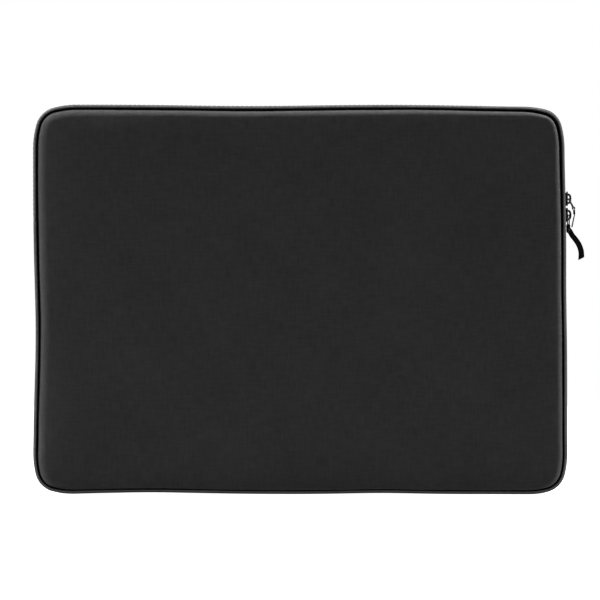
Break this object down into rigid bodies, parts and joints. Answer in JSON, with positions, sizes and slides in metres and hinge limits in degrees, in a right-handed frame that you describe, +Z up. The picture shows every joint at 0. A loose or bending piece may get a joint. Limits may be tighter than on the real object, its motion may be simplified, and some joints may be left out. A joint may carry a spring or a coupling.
{
  "type": "laptop sleeve",
  "caption": "Slim padded laptop sleeve with rounded corners, a zip over the top and upper sides, and slider pulls of wire ring and ribbon.",
  "frame": {"origin": "on the floor, under the middle of the sleeve, on the bottom gusset's flat", "axes": "+Z up towards the zipped top, front panel towards -Y, +X to the right seen from the front, where the sliders are"},
  "size_m": [0.4114, 0.03, 0.2917],
  "materials": {
    "knit_cover": "matte",
    "foam": "matte",
    "lining": "matte",
    "zip_tape": "matte",
    "zip_coil": "satin",
    "slider_metal": "gloss",
    "ring_wire": "gloss",
    "ribbon": "satin",
    "thread": "satin",
    "binding": "matte"
  },
  "bodies": {
    "sleeve": {"back_cover": "knit_cover", "lower_front_cover": "knit_cover", "gusset_cover": "knit_cover", "back_zip_strip": "knit_cover", "front_zip_strip_left_end": "knit_cover", "front_zip_strip_right_end": "knit_cover", "back_padding": "foam", "lower_front_padding": "foam", "gusset_padding": "foam", "back_lining": "lining", "lower_front_lining": "lining", "gusset_lining": "lining", "back_strip_lining": "lining", "front_strip_lining_left_end": "lining", "front_strip_lining_right_end": "lining", "back_zip_tape": "zip_tape", "front_zip_tape_left_end": "zip_tape", "front_zip_tape_right_end": "zip_tape", "back_zip_coil": "zip_coil", "front_zip_coil_left_end": "zip_coil", "front_zip_coil_right_end": "zip_coil", "left_zip_stop": "thread", "right_zip_stop": "thread", "back_seam_binding": "binding", "lower_front_seam_binding": "binding", "left_zip_end_tab": "binding", "right_zip_end_tab": "binding"},
    "mouth_flap": {"upper_front_cover": "knit_cover", "upper_front_padding": "foam", "upper_front_lining": "lining", "front_zip_strip": "knit_cover", "front_strip_lining": "lining", "front_zip_tape": "zip_tape", "front_zip_coil": "zip_coil", "upper_front_seam_binding": "binding"},
    "upper_slider": {"upper_slider_body": "slider_metal"},
    "upper_ring": {"upper_pull_ring": "ring_wire"},
    "upper_ribbon": {"upper_pull_ribbon": "ribbon", "upper_pull_stitching": "thread"},
    "lower_slider": {"lower_slider_body": "slider_metal"},
    "lower_ring": {"lower_pull_ring": "ring_wire"},
    "lower_ribbon": {"lower_pull_ribbon": "ribbon", "lower_pull_stitching": "thread"}
  },
  "joints": [
    {"name": "mouth_fold", "type": "hinge", "parent": "sleeve", "child": "mouth_flap", "pos_m": [0, -0.015, 0.229], "axis": [-1, 0, 0], "range_deg": [-45, 0], "stiffness_Nm_per_rad": 0.03},
    {"name": "upper_slider_travel", "type": "slide", "parent": "sleeve", "child": "upper_slider", "axis": [0, 0, 1], "range_m": [0, 0.03]},
    {"name": "upper_ring_swing", "type": "hinge", "parent": "upper_slider", "child": "upper_ring", "pos_m": [0.2016, 0, 0.22135], "axis": [0, -1, 0], "range_deg": [0, 130], "deforming": ["upper_pull_ribbon", "upper_pull_stitching"]},
    {"name": "upper_ribbon_swing", "type": "hinge", "parent": "upper_ring", "child": "upper_ribbon", "pos_m": [0.20524, 0, 0.21451], "axis": [0, -1, 0], "range_deg": [0, 25]},
    {"name": "lower_slider_travel", "type": "slide", "parent": "sleeve", "child": "lower_slider", "axis": [0, 0, 1], "range_m": [-0.003, 0.001]},
    {"name": "lower_ring_swing", "type": "hinge", "parent": "lower_slider", "child": "lower_ring", "pos_m": [0.2016, 0, 0.20915], "axis": [0, -1, 0], "range_deg": [0, 120], "deforming": ["lower_pull_ribbon", "lower_pull_stitching"]},
    {"name": "lower_ribbon_swing", "type": "hinge", "parent": "lower_ring", "child": "lower_ribbon", "pos_m": [0.2014, 0, 0.2014], "axis": [0, -1, 0], "range_deg": [-12, 25]}
  ]
}
